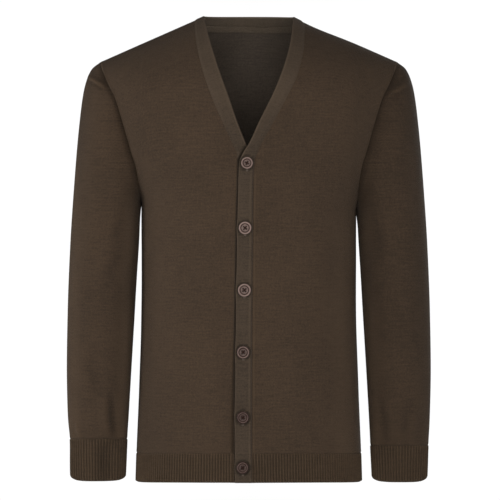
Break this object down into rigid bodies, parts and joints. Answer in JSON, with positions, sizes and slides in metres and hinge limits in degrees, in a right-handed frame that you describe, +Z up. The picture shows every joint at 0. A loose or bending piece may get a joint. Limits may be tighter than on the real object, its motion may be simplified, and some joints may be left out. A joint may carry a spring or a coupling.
{
  "type": "v-neck cardigan",
  "caption": "Long-sleeved fine-knit v-neck cardigan in its worn, hollow shape: buttoned front band, set-in sleeves, ribbed hem and cuffs.",
  "frame": {"origin": "where the wearer holds it: midway between the two points where the shoulder seams meet the neck", "axes": "+Z up, the front faces -Y, +X is the wearer's left"},
  "size_m": [0.545, 0.2513, 0.7021],
  "materials": {
    "jersey": "fine plain-knit jersey, dark olive brown, matt with a soft bloom",
    "rib": "fine one-by-one rib in the same yarn",
    "band": "doubled plain-knit band in the same yarn, pressed edges",
    "tape": "narrow knitted seam tape, a little greyer than the yarn",
    "button": "mauve-brown resin, satin with a lighter worn rim"
  },
  "bodies": {
    "root": {"back": "jersey", "front_left": "jersey", "front_right": "jersey", "sleeve_left": "jersey", "sleeve_right": "jersey", "cuff_left": "rib", "cuff_right": "rib", "hem_rib_back": "rib", "hem_rib_front_left": "rib", "hem_rib_front_right": "rib", "band_buttonhole": "band", "band_button": "band", "band_back_neck": "band", "neck_tape": "tape", "button_1": "button", "button_2": "button", "button_3": "button", "button_4": "button", "button_5": "button", "button_6": "button"}
  },
  "joints": []
}
